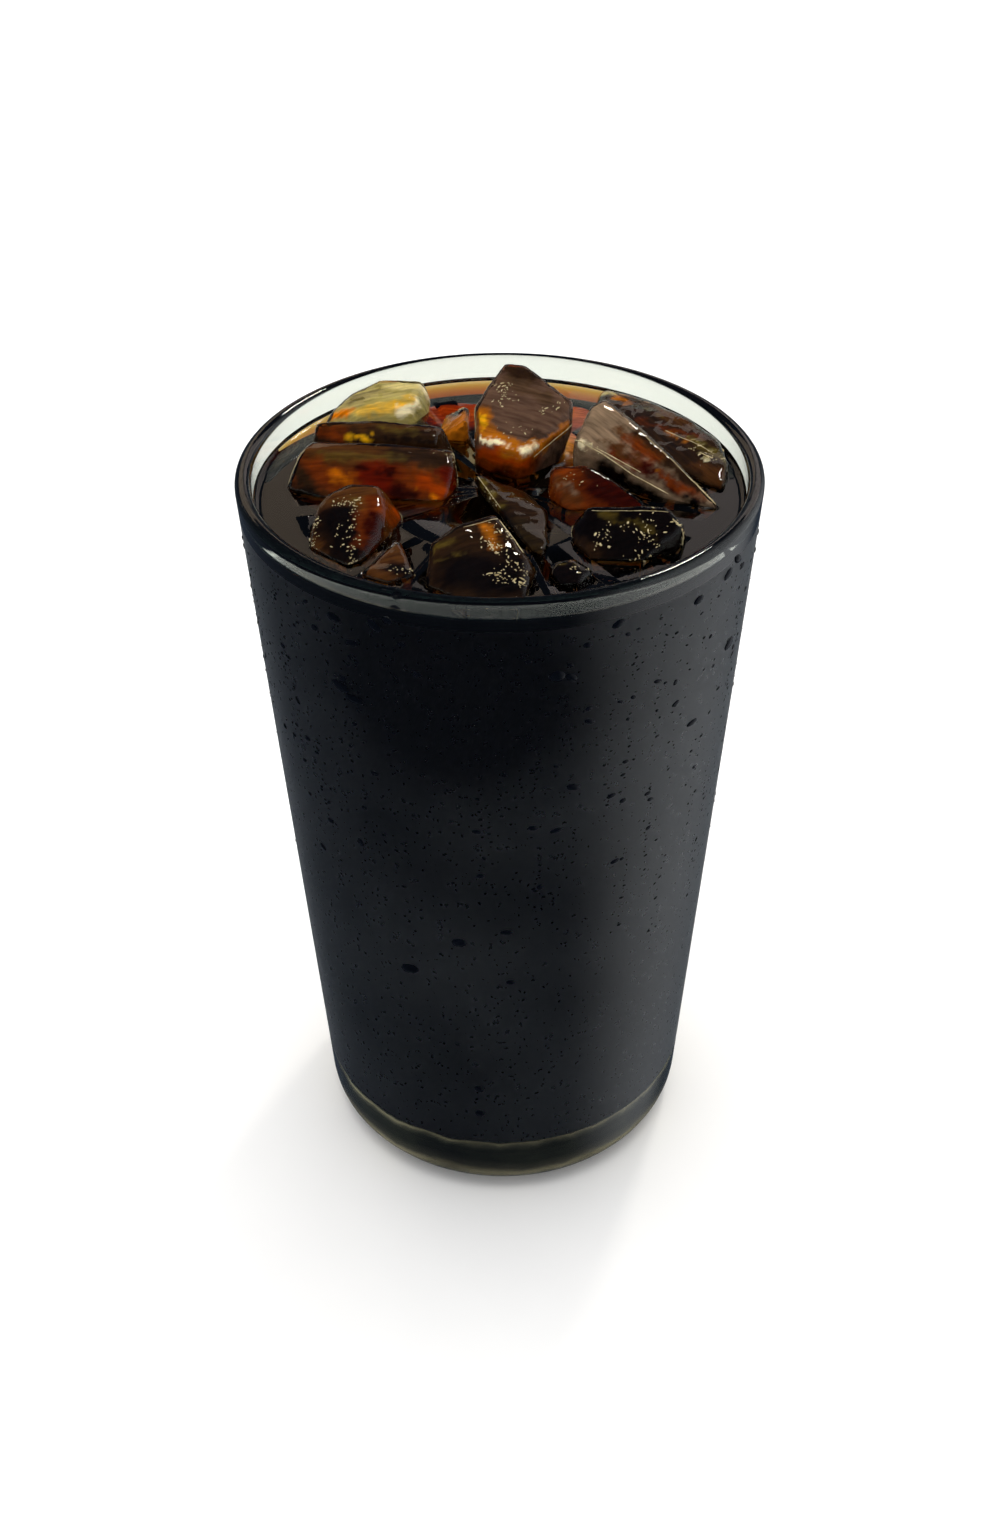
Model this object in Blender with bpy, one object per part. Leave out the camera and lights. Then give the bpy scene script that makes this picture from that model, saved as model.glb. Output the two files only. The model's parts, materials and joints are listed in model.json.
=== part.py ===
"""Iced coffee in a conical glass tumbler: the glass, the black coffee and fourteen pieces of ice.

The origin is the middle of the foot, on the surface that the glass stands on. The front of the drink,
where the low ice shows, faces -Y. Units are metres.
"""
import math

import bmesh
import bpy
from mathutils import Vector

MM = 0.001

# The tumbler: a straight cone of clear glass with a round heel, a thick base and a rounded rim.
HEIGHT = 0.136
RIM_RADIUS = 0.042
FOOT_RADIUS = 0.034
WALL = 0.0024
RIM_BEAD_RADIUS = 0.0013
BASE_THICKNESS = 0.008
HEEL_RADIUS = 0.007
INNER_CORNER_RADIUS = 0.006
STANDING_RING_WIDTH = 0.003
PUNT_RADIUS = 0.0215
PUNT_DEPTH = 0.0014
PUNT_EDGE_DEPTH = 0.0009
SLOPE = (RIM_RADIUS - FOOT_RADIUS) / HEIGHT

# The drink: its level, and the clearance that touching pieces keep.
COFFEE_LEVEL = 0.1312
GAP = 0.0003

# Ice that has begun to melt has corners and edges of about this radius.
MELT_RADIUS = 0.001
CHIP_MELT_RADIUS = 0.0008
FOOT_TAPER = 0.8

ROUND_STEPS = 64
ARC_STEPS = 6
BALL_SUBDIVISIONS = 1
SMOOTH_ANGLE = math.radians(35)


def clear_scene():
    """Remove what the file opened with."""
    for thing in list(bpy.data.objects):
        bpy.data.objects.remove(thing, do_unlink=True)


def principled(name, colour, roughness, ior, transmission):
    """A material for one substance."""
    material = bpy.data.materials.new(name)
    material.use_nodes = True
    shader = material.node_tree.nodes["Principled BSDF"]
    shader.inputs["Base Color"].default_value = (*colour, 1.0)
    shader.inputs["Metallic"].default_value = 0.0
    shader.inputs["Roughness"].default_value = roughness
    shader.inputs["IOR"].default_value = ior
    shader.inputs["Transmission Weight"].default_value = transmission
    return material


def wall_line(inset, height):
    """Radius at a height of the outer cone moved inwards, square to its slope, by inset."""
    return FOOT_RADIUS + SLOPE * height - inset * math.hypot(1, SLOPE)


def corner_arc(inset, floor, radius):
    """Fillet between a flat floor and the cone moved in by inset, from the cone down to the floor."""
    middle_height = floor + radius
    middle_radius = wall_line(inset + radius, middle_height)
    start = -math.atan(SLOPE)
    end = -math.pi / 2
    points = []
    for step in range(ARC_STEPS + 1):
        angle = start + (end - start) * step / ARC_STEPS
        points.append((middle_radius + radius * math.cos(angle), middle_height + radius * math.sin(angle)))
    return points


def turned(name, profile, material):
    """Turn a profile of (radius, height) points about the Z axis. It runs down the outer side."""
    mesh = bpy.data.meshes.new(name)
    points = [(radius, 0.0, height) for radius, height in profile]
    edges = [(index, index + 1) for index in range(len(points) - 1)]
    mesh.from_pydata(points, edges, [])
    mesh.materials.append(material)
    piece = bpy.data.objects.new(name, mesh)
    bpy.context.collection.objects.link(piece)
    screw = piece.modifiers.new("turn", "SCREW")
    screw.axis = "Z"
    screw.angle = 2 * math.pi
    screw.steps = ROUND_STEPS
    screw.render_steps = ROUND_STEPS
    screw.use_merge_vertices = True
    screw.merge_threshold = 0.00001
    screw.use_smooth_shade = True
    return piece


def rim_arc():
    """The round bead of the rim, from the inner wall over the top to the outer wall."""
    middle_height = HEIGHT - RIM_BEAD_RADIUS
    middle_radius = wall_line(RIM_BEAD_RADIUS, middle_height)
    start = math.pi - math.atan(SLOPE)
    end = -math.atan(SLOPE)
    steps = 2 * ARC_STEPS - 4
    points = []
    for step in range(steps + 1):
        angle = start + (end - start) * step / steps
        points.append(
            (
                middle_radius + RIM_BEAD_RADIUS * math.cos(angle),
                middle_height + RIM_BEAD_RADIUS * math.sin(angle),
            )
        )
    return points


def make_glass(material):
    """The tumbler, with a shallow hollow pressed into the underside inside its standing ring."""
    inner_corner = corner_arc(WALL, BASE_THICKNESS, INNER_CORNER_RADIUS)
    heel = corner_arc(0.0, 0.0, HEEL_RADIUS)
    neck_height = HEIGHT - 3 * RIM_BEAD_RADIUS
    ring_edge = heel[-1][0] - STANDING_RING_WIDTH
    profile = [(0.0, BASE_THICKNESS)]
    profile += reversed(inner_corner)
    profile.append((wall_line(WALL, neck_height), neck_height))
    profile += rim_arc()
    profile += heel
    profile.append((ring_edge, 0.0))
    profile.append((PUNT_RADIUS, PUNT_EDGE_DEPTH))
    profile.append((0.0, PUNT_DEPTH))
    return turned("glass", profile, material)


def rounded_hull(name, corners, radius, material):
    """A convex block with every corner and edge rounded: the hull of a small ball at each corner."""
    ball = bmesh.new()
    bmesh.ops.create_icosphere(ball, subdivisions=BALL_SUBDIVISIONS, radius=radius)
    ball_points = [vertex.co.copy() for vertex in ball.verts]
    ball.free()
    shape = bmesh.new()
    for corner in corners:
        for offset in ball_points:
            shape.verts.new(corner + offset)
    hull = bmesh.ops.convex_hull(shape, input=shape.verts)
    inside = [item for item in hull["geom_interior"] if isinstance(item, bmesh.types.BMVert)]
    bmesh.ops.delete(shape, geom=inside, context="VERTS")
    bmesh.ops.recalc_face_normals(shape, faces=shape.faces)
    mesh = bpy.data.meshes.new(name)
    shape.to_mesh(mesh)
    shape.free()
    mesh.shade_smooth()
    mesh.set_sharp_from_angle(angle=SMOOTH_ANGLE)
    mesh.materials.append(material)
    return bpy.data.objects.new(name, mesh)


def ice_corners(crown, waist, depth):
    """Corners of a block from its crown (x, y, rise over the coffee), its outline at the waterline and
    its depth under it, all in millimetres. The block draws in towards its foot."""
    level = COFFEE_LEVEL / MM
    middle = Vector((sum(x for x, y in waist), sum(y for x, y in waist))) / len(waist)
    corners = [Vector((x, y, level + rise)) for x, y, rise in crown]
    corners += [Vector((x, y, level)) for x, y in waist]
    for x, y in waist:
        foot = middle + (Vector((x, y)) - middle) * FOOT_TAPER
        corners.append(Vector((foot.x, foot.y, level - depth)))
    return [corner * MM for corner in corners]


# Each piece: crown corners (x, y, rise over the coffee), outline at the waterline (x, y), depth of the
# foot under the coffee and edge radius in metres. Corners are the centres of the rounded corners, in mm.
ICE_PIECES = {
    "ice_back_left": (
        [(-28, 22.5, 1.6), (-25, 27.6, 2.6), (-20.5, 31.2, 3.3), (-13.8, 31, 3.1), (-15, 25.4, 3.0),
         (-23.5, 21, 2.6)],
        [(-29, 21.5), (-25, 27.8), (-20, 31.2), (-12.6, 31.3), (-12.8, 27), (-15.5, 22.5), (-24, 19)],
        13,
        MELT_RADIUS,
    ),
    "ice_slab_back": (
        [(-29.6, 13.6, 4.2), (-18.5, 13.4, 4.4), (-9.8, 12, 4.1), (-10.8, 8.8, 3.9), (-20.7, 11.2, 4.0)],
        [(-30.3, 15.2), (-10, 15), (-8.4, 12.3), (-9.8, 8.6), (-21, 10.4), (-30.3, 11.6)],
        14,
        MELT_RADIUS,
    ),
    "ice_slab_front": (
        [(-31.3, 4.8, 3.9), (-30.2, 7.2, 4.0), (-20.8, 6.1, 4.2), (-8, 4.9, 3.6), (-7.8, 1.4, 2.9),
         (-13.7, -0.3, 3.2), (-26.6, 2.8, 3.7)],
        [(-33.3, 0.9), (-30.8, 7.2), (-8, 4.4), (-7.4, 1.2), (-9, -3.2), (-20, -2.4), (-29, -1.4)],
        15,
        MELT_RADIUS,
    ),
    "ice_cube": (
        [(-3.2, 13.5, 7.4), (1.3, 22.4, 10.5), (4.2, 21.8, 10.4), (11.2, 13, 8.3), (11.2, 10.4, 6.0),
         (3.8, 4.3, 4.0), (-2.9, 7.9, 4.8)],
        [(-3.2, 8.6), (-1.2, 6.2), (2.3, 3.9), (4.2, 4.8), (7.6, 11.6), (9, 16), (3, 21.5), (-3.2, 14.5)],
        9,
        MELT_RADIUS,
    ),
    "ice_wedge": (
        [(17.3, 13.5, 8.0), (15.5, 11.6, 8.0), (12.8, 4.4, 5.6), (15.6, 3.2, 3.6), (23.8, -1.8, 1.2),
         (34, -6.6, -0.3), (27.8, 0.6, 3.6), (23, 6.6, 6.0)],
        [(17.5, 15), (14.2, 12), (12.8, 6), (15.8, 4.4), (24, -1), (33, -6), (27.8, 1.5), (23.5, 8)],
        12,
        MELT_RADIUS,
    ),
    "ice_back_right": (
        [(18.7, 32.6, 0.6), (26.6, 26.8, 0.9), (32.3, 19.4, 1.2), (35.6, 12.5, 1.2), (36.6, 6, 0.8),
         (35.4, 0, 0.3), (29.5, 5.8, 0.4), (25.2, 12.6, 0.6), (20.5, 20.2, 0.5), (17.5, 27, 0.4)],
        [(18, 31.8), (26, 26.2), (34.6, 12), (34, 0.5), (25.4, 13), (18, 26.5)],
        9,
        MELT_RADIUS,
    ),
    "ice_lump": (
        [(8.9, 0, 3.1), (13.2, -0.2, 3.4), (16.4, -1.4, 2.4), (20.4, -4.4, 0.9), (9.2, -3, 2.0),
         (13.5, -4, 1.8)],
        [(8.4, 0.4), (14.5, 0.4), (22.4, -6), (15, -5.8), (10.9, -6.6), (8.4, -3)],
        10,
        MELT_RADIUS,
    ),
    "ice_front_right": (
        [(13.8, -14.9, 4.0), (21.4, -15, 4.1), (25.2, -15.3, 3.9), (27.3, -17, 2.6), (24, -19.5, 1.8),
         (14.5, -19, 2.0), (11.8, -15.2, 1.2)],
        [(12.2, -13.7), (25, -13.7), (27.6, -16.6), (26.2, -19.2), (21.4, -22), (13.8, -21.6), (11.9, -17.5)],
        13,
        MELT_RADIUS,
    ),
    "ice_front_centre": (
        [(-0.9, -17, 4.0), (-6, -20.3, 4.0), (-9.6, -22.6, 2.7), (-3, -27, 2.2), (3.3, -25.4, 1.9)],
        [(-1, -15.7), (-10, -22.8), (-10.2, -29), (-5, -33.5), (3, -33), (4.6, -26), (4.2, -24.8)],
        12,
        MELT_RADIUS,
    ),
    "ice_front_left": (
        [(-19.2, -7.4, 3.9), (-22.9, -7.4, 4.1), (-25.6, -9.6, 3.9), (-27.4, -12, 3.0), (-22.5, -15.5, 3.0),
         (-18.5, -12.5, 3.2)],
        [(-17.2, -6.6), (-27.3, -8), (-28.6, -14.5), (-28.4, -17.8), (-23, -23), (-20.8, -21.7), (-17.2, -13.5),
         (-16, -9.6)],
        14,
        MELT_RADIUS,
    ),
    "ice_middle": (
        [(-3.3, 0.6, 1.6), (-1.3, -3.8, 1.4), (0.4, -7, 1.1), (3, -13.4, 0.4), (4.9, -19.4, 0.2)],
        [(-3.2, 0.7), (3.6, -1.6), (6.9, -8.3), (6.9, -16.5), (6.3, -20.6), (4.9, -19.6), (0.4, -7.4)],
        8,
        CHIP_MELT_RADIUS,
    ),
    "ice_chip_right": (
        [(8.6, -24.8, 0.5), (11, -24.4, 0.7), (9.6, -27.6, 0.1)],
        [(8.4, -24.4), (11.4, -24.2), (13.2, -26.2), (11.5, -28.7), (9.2, -28.9), (7.9, -26.6)],
        6,
        CHIP_MELT_RADIUS,
    ),
    "ice_chip_left": (
        [(-15.6, -18.4, 0.5), (-15.2, -19.4, 0.4), (-15.6, -23.8, 0.1), (-18, -25.8, 0)],
        [(-15.8, -18.2), (-14.9, -19.6), (-13.2, -26.4), (-16.6, -27.8), (-20, -26)],
        7,
        CHIP_MELT_RADIUS,
    ),
    "ice_sliver": (
        [(-8.6, 23.6, 0.8), (-5.8, 22.4, 2.6), (-5.8, 17, 2.8), (-8, 17.4, 1.4)],
        [(-8.9, 23.8), (-5.7, 22.9), (-5.7, 16.8), (-8.6, 17.2), (-9.8, 20)],
        7,
        CHIP_MELT_RADIUS,
    ),
}


def make_ice(material):
    """The pieces of ice that break the surface."""
    for name, (crown, waist, depth, radius) in ICE_PIECES.items():
        piece = rounded_hull(name, ice_corners(crown, waist, depth), radius, material)
        bpy.context.collection.objects.link(piece)


def make_pockets(material):
    """Cutters a little larger than the ice, which leave its pockets in the coffee."""
    pockets = bpy.data.collections.new("pockets")
    bpy.context.scene.collection.children.link(pockets)
    for name, (crown, waist, depth, radius) in ICE_PIECES.items():
        cutter = rounded_hull(f"{name}_pocket", ice_corners(crown, waist, depth), radius + GAP, material)
        cutter.hide_render = True
        cutter.display_type = "WIRE"
        pockets.objects.link(cutter)
    return pockets


def make_coffee(material, pockets):
    """The coffee up to its level, with the ice cut out of it."""
    wall_inset = WALL + GAP
    corner = corner_arc(wall_inset, BASE_THICKNESS + GAP, INNER_CORNER_RADIUS - GAP)
    profile = [(0.0, COFFEE_LEVEL), (wall_line(wall_inset, COFFEE_LEVEL), COFFEE_LEVEL)]
    profile += corner
    profile.append((0.0, BASE_THICKNESS + GAP))
    coffee = turned("coffee", profile, material)
    cut = coffee.modifiers.new("ice pockets", "BOOLEAN")
    cut.operation = "DIFFERENCE"
    cut.operand_type = "COLLECTION"
    cut.collection = pockets
    cut.solver = "EXACT"


clear_scene()
clear_glass = principled("clear_glass", (0.80, 0.87, 0.86), 0.03, 1.52, 1.0)
black_coffee = principled("black_coffee", (0.030, 0.012, 0.006), 0.05, 1.34, 0.3)
clear_ice = principled("clear_ice", (0.62, 0.58, 0.50), 0.08, 1.31, 0.8)
make_glass(clear_glass)
make_ice(clear_ice)
make_coffee(black_coffee, make_pockets(clear_ice))
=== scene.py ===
import json
import math
import random

import bpy
import numpy as np
from mathutils import Euler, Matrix, Quaternion, Vector, noise

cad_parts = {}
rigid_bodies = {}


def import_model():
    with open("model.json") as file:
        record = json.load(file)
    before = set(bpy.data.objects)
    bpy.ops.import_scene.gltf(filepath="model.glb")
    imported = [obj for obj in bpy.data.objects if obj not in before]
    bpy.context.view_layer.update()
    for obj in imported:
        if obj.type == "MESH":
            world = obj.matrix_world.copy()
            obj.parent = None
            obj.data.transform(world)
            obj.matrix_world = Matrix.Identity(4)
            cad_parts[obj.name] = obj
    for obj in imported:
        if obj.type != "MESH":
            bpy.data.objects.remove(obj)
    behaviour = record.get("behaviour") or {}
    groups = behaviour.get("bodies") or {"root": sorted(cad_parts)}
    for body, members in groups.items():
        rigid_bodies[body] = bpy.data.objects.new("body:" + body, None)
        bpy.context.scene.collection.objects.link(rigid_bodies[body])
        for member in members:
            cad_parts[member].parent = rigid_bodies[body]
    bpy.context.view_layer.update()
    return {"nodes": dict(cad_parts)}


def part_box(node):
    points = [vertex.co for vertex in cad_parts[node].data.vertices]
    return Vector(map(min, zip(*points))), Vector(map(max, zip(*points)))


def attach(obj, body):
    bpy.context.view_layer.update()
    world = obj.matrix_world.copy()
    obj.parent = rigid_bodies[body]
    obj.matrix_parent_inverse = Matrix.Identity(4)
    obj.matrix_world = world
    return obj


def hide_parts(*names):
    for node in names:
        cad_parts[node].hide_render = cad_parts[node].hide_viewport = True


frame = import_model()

# The camera: held about 37 cm from the rim and looking down by 37 degrees, as in the photo.
# Its lens is given for the whole 1000 by 1526 picture, whose height the sensor is fitted to.
PICTURE_HEIGHT = 1526
FOCAL_LENGTH_PIXELS = 1788
SENSOR_HEIGHT = 24.0
CAMERA_PLACE = (0.0, -0.2545, 0.2701)
CAMERA_PITCH = math.radians(37.34)
CAMERA_ROLL = math.radians(-0.38)
CAMERA_SHIFT = -0.001

bpy.ops.object.camera_add(location=CAMERA_PLACE)
camera = bpy.context.object
camera.name = "camera"
camera.rotation_mode = "QUATERNION"
tilt_down = Euler((math.pi / 2 - CAMERA_PITCH, 0.0, 0.0)).to_quaternion()
camera.rotation_quaternion = tilt_down @ Quaternion((0.0, 0.0, 1.0), CAMERA_ROLL)
camera.data.sensor_fit = "VERTICAL"
camera.data.sensor_height = SENSOR_HEIGHT
camera.data.lens = SENSOR_HEIGHT * FOCAL_LENGTH_PIXELS / PICTURE_HEIGHT
camera.data.shift_x = CAMERA_SHIFT
camera.data.clip_start = 0.01
bpy.context.scene.camera = camera
bpy.context.scene.view_settings.view_transform = "Standard"


# The tumbler: soda lime glass, pressed as one straight cone with a thick foot and a fire-polished rim.
# Cold drink has fogged its outside from the foot's thick glass up to the level of the coffee.
MM = 0.001
DRINK_BODY = "root"
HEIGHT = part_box("glass")[1].z
RIM_RADIUS = 42.0 * MM
FOOT_RADIUS = 34.0 * MM
WALL = 2.4 * MM
RIM_BEAD_RADIUS = 1.3 * MM
BASE_THICKNESS = 8.0 * MM
HEEL_RADIUS = 7.0 * MM
INNER_CORNER_RADIUS = 6.0 * MM
STANDING_RING_WIDTH = 3.0 * MM
PUNT_RADIUS = 21.5 * MM
PUNT_EDGE_DEPTH = 0.9 * MM
PUNT_DEPTH = 1.4 * MM
POLE_RADIUS = 0.3 * MM
SLOPE = (RIM_RADIUS - FOOT_RADIUS) / HEIGHT
WALL_TILT = math.atan(SLOPE)
ROUND_SIDES = 192
GLASS_TINT = "B9D6D0"
GLASS_DEPTH = 22.0
CORNER_STEPS = 10
RIM_STEPS = 16
FOG_BOTTOM = 14.5 * MM
FOG_TOP = 131.0 * MM
# Painted shade: the fog is thinner round this place near the top of the front, so the glass reads darker
# there: this share of it is left at the inner distance, all at the outer.
THIN_FOG_PLACE = (-6.0 * MM, -41.0 * MM, 119.0 * MM)
THIN_FOG_INNER = 10.0 * MM
THIN_FOG_OUTER = 30.0 * MM
THIN_FOG_SHARE = 0.3
RING_WANDER = 0.8 * MM
# The painted light and shade of the heel, as rings from the table up to where the fog begins: a share of that
# height and a colour.
HEEL_PAINTED_LIGHT_RINGS = (
    (0.001, "1C160C"), (0.15, "40361E"), (0.25, "7C765A"), (0.38, "78735B"), (0.48, "34332A"),
    (0.62, "1A1C14"), (0.84, "1C1E16"), (0.91, "3A3A2E"), (0.965, "625F4B"), (0.999, "101210"),
)


def cone_radius(inset, height):
    """Radius at a height of the outer cone moved inwards, square to its slope, by inset."""
    return FOOT_RADIUS + SLOPE * height - inset * math.hypot(1.0, SLOPE)


def arc(middle, radius, start, end, steps):
    """Profile points along an arc about a middle point."""
    angles = [start + (end - start) * step / steps for step in range(steps + 1)]
    return [(middle[0] + radius * math.cos(a), middle[1] + radius * math.sin(a)) for a in angles]


def floor_corner(inset, floor, radius):
    """The round corner between a flat floor and the cone moved in by inset, from the cone downwards."""
    middle = (cone_radius(inset + radius, floor + radius), floor + radius)
    return arc(middle, radius, -WALL_TILT, -math.pi / 2, CORNER_STEPS)


def turned(name, profile):
    """Pull a round piece up from a filled disc, ring by ring, and close it on the axis."""
    radius, height = profile[0]
    bpy.ops.mesh.primitive_circle_add(
        vertices=ROUND_SIDES, radius=radius, fill_type="TRIFAN", location=(0, 0, height)
    )
    piece = bpy.context.object
    piece.name = name
    piece.data.name = name
    bpy.ops.object.transform_apply(location=True, rotation=True, scale=True)
    bpy.ops.object.mode_set(mode="EDIT")
    bpy.ops.mesh.select_mode(type="EDGE")
    bpy.ops.mesh.select_all(action="SELECT")
    bpy.ops.mesh.region_to_loop()
    for next_radius, next_height in profile[1:]:
        bpy.ops.mesh.extrude_region_move(TRANSFORM_OT_translate={"value": (0, 0, next_height - height)})
        grow = next_radius / radius
        bpy.ops.transform.resize(value=(grow, grow, 1.0), center_override=(0, 0, next_height))
        radius, height = next_radius, next_height
    bpy.ops.mesh.merge(type="CENTER")
    bpy.ops.mesh.select_all(action="SELECT")
    bpy.ops.mesh.normals_make_consistent(inside=False)
    bpy.ops.object.mode_set(mode="OBJECT")
    piece.data.shade_smooth()
    return piece


def linear(hex_colour):
    """An sRGB hex colour as linear red, green, blue and alpha."""
    channels = [int(hex_colour[i:i + 2], 16) / 255 for i in (0, 2, 4)]
    turned_linear = [c / 12.92 if c <= 0.04045 else ((c + 0.055) / 1.055) ** 2.4 for c in channels]
    return (*turned_linear, 1.0)


def finish_named(name):
    """A new material with an empty node tree and its output."""
    material = bpy.data.materials.new(name)
    material.use_nodes = True
    material.node_tree.nodes.clear()
    output = material.node_tree.nodes.new("ShaderNodeOutputMaterial")
    return material, material.node_tree, output


def add_node(tree, kind, inputs=None, **settings):
    """Add a node with its settings. An input takes a value, or another node's output, which is linked."""
    node = tree.nodes.new(kind)
    for key, value in settings.items():
        setattr(node, key, value)
    for key, value in (inputs or {}).items():
        if isinstance(value, bpy.types.NodeSocket):
            tree.links.new(value, node.inputs[key])
        else:
            node.inputs[key].default_value = value
    return node


def clear_glass():
    """Soda lime glass: colourless on a short path, a little teal along the wall and through the foot."""
    material, tree, output = finish_named("soda_lime_glass")
    shader = add_node(
        tree,
        "ShaderNodeBsdfPrincipled",
        {"Base Color": linear("D6DAD2"), "Roughness": 0.0, "IOR": 1.52, "Transmission Weight": 1.0},
    )
    tint = add_node(tree, "ShaderNodeVolumeAbsorption", {"Color": linear(GLASS_TINT), "Density": GLASS_DEPTH})
    tree.links.new(shader.outputs[0], output.inputs["Surface"])
    tree.links.new(tint.outputs[0], output.inputs["Volume"])
    return material


def fogged_glass():
    """The same glass under fog: dew too fine to see one drop scatters a dull grey-blue veil over it, thinned
    at the front as painted shade.
    """
    material, tree, output = finish_named("fogged_soda_lime_glass")
    place = add_node(tree, "ShaderNodeTexCoord").outputs["Object"]
    patches = add_node(tree, "ShaderNodeTexNoise", {"Vector": place, "Scale": 1 / (30 * MM), "Detail": 3.0})
    dew = add_node(tree, "ShaderNodeTexNoise", {"Vector": place, "Scale": 1 / (1.1 * MM), "Detail": 2.0})
    # Painted shade: the veil is thinned round one place at the front, so the glass reads darker there.
    from_thin_fog = add_node(tree, "ShaderNodeVectorMath", {0: place, 1: THIN_FOG_PLACE}, operation="DISTANCE")
    thinned_fog = add_node(
        tree,
        "ShaderNodeMapRange",
        {
            "Value": from_thin_fog.outputs["Value"],
            "From Min": THIN_FOG_INNER,
            "From Max": THIN_FOG_OUTER,
            "To Min": THIN_FOG_SHARE,
        },
        interpolation_type="SMOOTHSTEP",
    )
    thick = add_node(
        tree,
        "ShaderNodeMath",
        {0: patches.outputs["Fac"], 1: thinned_fog.outputs["Result"]},
        operation="MULTIPLY",
    )
    veil = add_node(
        tree,
        "ShaderNodeMapRange",
        {"Value": thick.outputs[0], "From Min": 0.2, "From Max": 0.7, "To Min": 0.9995, "To Max": 0.984},
    )
    rough = add_node(
        tree,
        "ShaderNodeMapRange",
        {"Value": dew.outputs["Fac"], "From Min": 0.3, "From Max": 0.7, "To Min": 0.26, "To Max": 0.4},
    )
    bump = add_node(
        tree, "ShaderNodeBump", {"Height": dew.outputs["Fac"], "Strength": 0.12, "Distance": 0.2 * MM}
    )
    shader = add_node(
        tree,
        "ShaderNodeBsdfPrincipled",
        {
            "Base Color": linear("C4CEDA"),
            "Roughness": rough.outputs["Result"],
            "IOR": 1.45,
            "Transmission Weight": veil.outputs["Result"],
            "Sheen Weight": 0.12,
            "Sheen Roughness": 0.25,
            "Sheen Tint": linear("D8E0E4"),
            "Normal": bump.outputs["Normal"],
        },
    )
    tint = add_node(tree, "ShaderNodeVolumeAbsorption", {"Color": linear(GLASS_TINT), "Density": GLASS_DEPTH})
    tree.links.new(shader.outputs[0], output.inputs["Surface"])
    tree.links.new(tint.outputs[0], output.inputs["Volume"])
    return material


def worn_foot():
    """The underside of the foot, dulled by years of tables: it scatters the light in the foot."""
    material, tree, output = finish_named("worn_glass_foot")
    place = add_node(tree, "ShaderNodeTexCoord").outputs["Object"]
    scuffs = add_node(tree, "ShaderNodeTexNoise", {"Vector": place, "Scale": 1 / (6 * MM), "Detail": 4.0})
    share = add_node(
        tree,
        "ShaderNodeMapRange",
        {"Value": scuffs.outputs["Fac"], "From Min": 0.35, "From Max": 0.65, "To Min": 0.2, "To Max": 0.8},
    )
    shader = add_node(
        tree,
        "ShaderNodeBsdfPrincipled",
        {
            "Base Color": linear("E6DFC0"),
            "Roughness": 0.5,
            "IOR": 1.52,
            "Transmission Weight": share.outputs["Result"],
        },
    )
    tree.links.new(shader.outputs[0], output.inputs["Surface"])
    return material


def paint_heel_light():
    """The outside of the foot with painted light: cream rings stand for the light its round heel gathers,
    with painted dark olive shade between.
    """
    material, tree, output = finish_named("heel_with_painted_light")
    place = add_node(tree, "ShaderNodeTexCoord").outputs["Object"]
    parts = add_node(tree, "ShaderNodeSeparateXYZ", {"Vector": place})
    streaks = add_node(tree, "ShaderNodeTexNoise", {"Vector": place, "Scale": 1 / (9 * MM), "Detail": 3.0})
    wander = add_node(
        tree,
        "ShaderNodeMapRange",
        {
            "Value": streaks.outputs["Fac"],
            "From Min": 0.3,
            "From Max": 0.7,
            "To Min": -RING_WANDER,
            "To Max": RING_WANDER,
        },
    )
    level = add_node(
        tree, "ShaderNodeMath", {0: parts.outputs["Z"], 1: wander.outputs["Result"]}, operation="ADD"
    )
    up = add_node(tree, "ShaderNodeMapRange", {"Value": level.outputs[0], "From Max": FOG_BOTTOM})
    rings = add_node(tree, "ShaderNodeValToRGB", {"Fac": up.outputs["Result"]})
    ramp = rings.color_ramp
    for position, colour in HEEL_PAINTED_LIGHT_RINGS:
        stop = ramp.elements.new(position)
        stop.color = linear(colour)
    ramp.elements.remove(ramp.elements[0])
    ramp.elements.remove(ramp.elements[-1])
    sideways = add_node(tree, "ShaderNodeMath", {0: parts.outputs["X"]}, operation="ABSOLUTE")
    # Painted light: the rings are made brighter towards the left and right sides of the foot.
    painted_side_light = add_node(
        tree,
        "ShaderNodeMapRange",
        {
            "Value": sideways.outputs[0],
            "From Min": 8 * MM,
            "From Max": 30 * MM,
            "To Min": 0.8,
            "To Max": 2.2,
        },
    )
    uneven = add_node(
        tree,
        "ShaderNodeMapRange",
        {"Value": streaks.outputs["Fac"], "From Min": 0.35, "From Max": 0.65, "To Min": 0.5, "To Max": 1.3},
    )
    light = add_node(
        tree,
        "ShaderNodeMath",
        {0: painted_side_light.outputs["Result"], 1: uneven.outputs["Result"]},
        operation="MULTIPLY",
    )
    lit = add_node(
        tree,
        "ShaderNodeVectorMath",
        {0: rings.outputs["Color"], "Scale": light.outputs[0]},
        operation="SCALE",
    )
    shader = add_node(
        tree,
        "ShaderNodeBsdfPrincipled",
        {"Base Color": lit.outputs["Vector"], "Roughness": 0.12, "IOR": 1.5, "Transmission Weight": 0.3},
    )
    tree.links.new(shader.outputs[0], output.inputs["Surface"])
    return material


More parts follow.
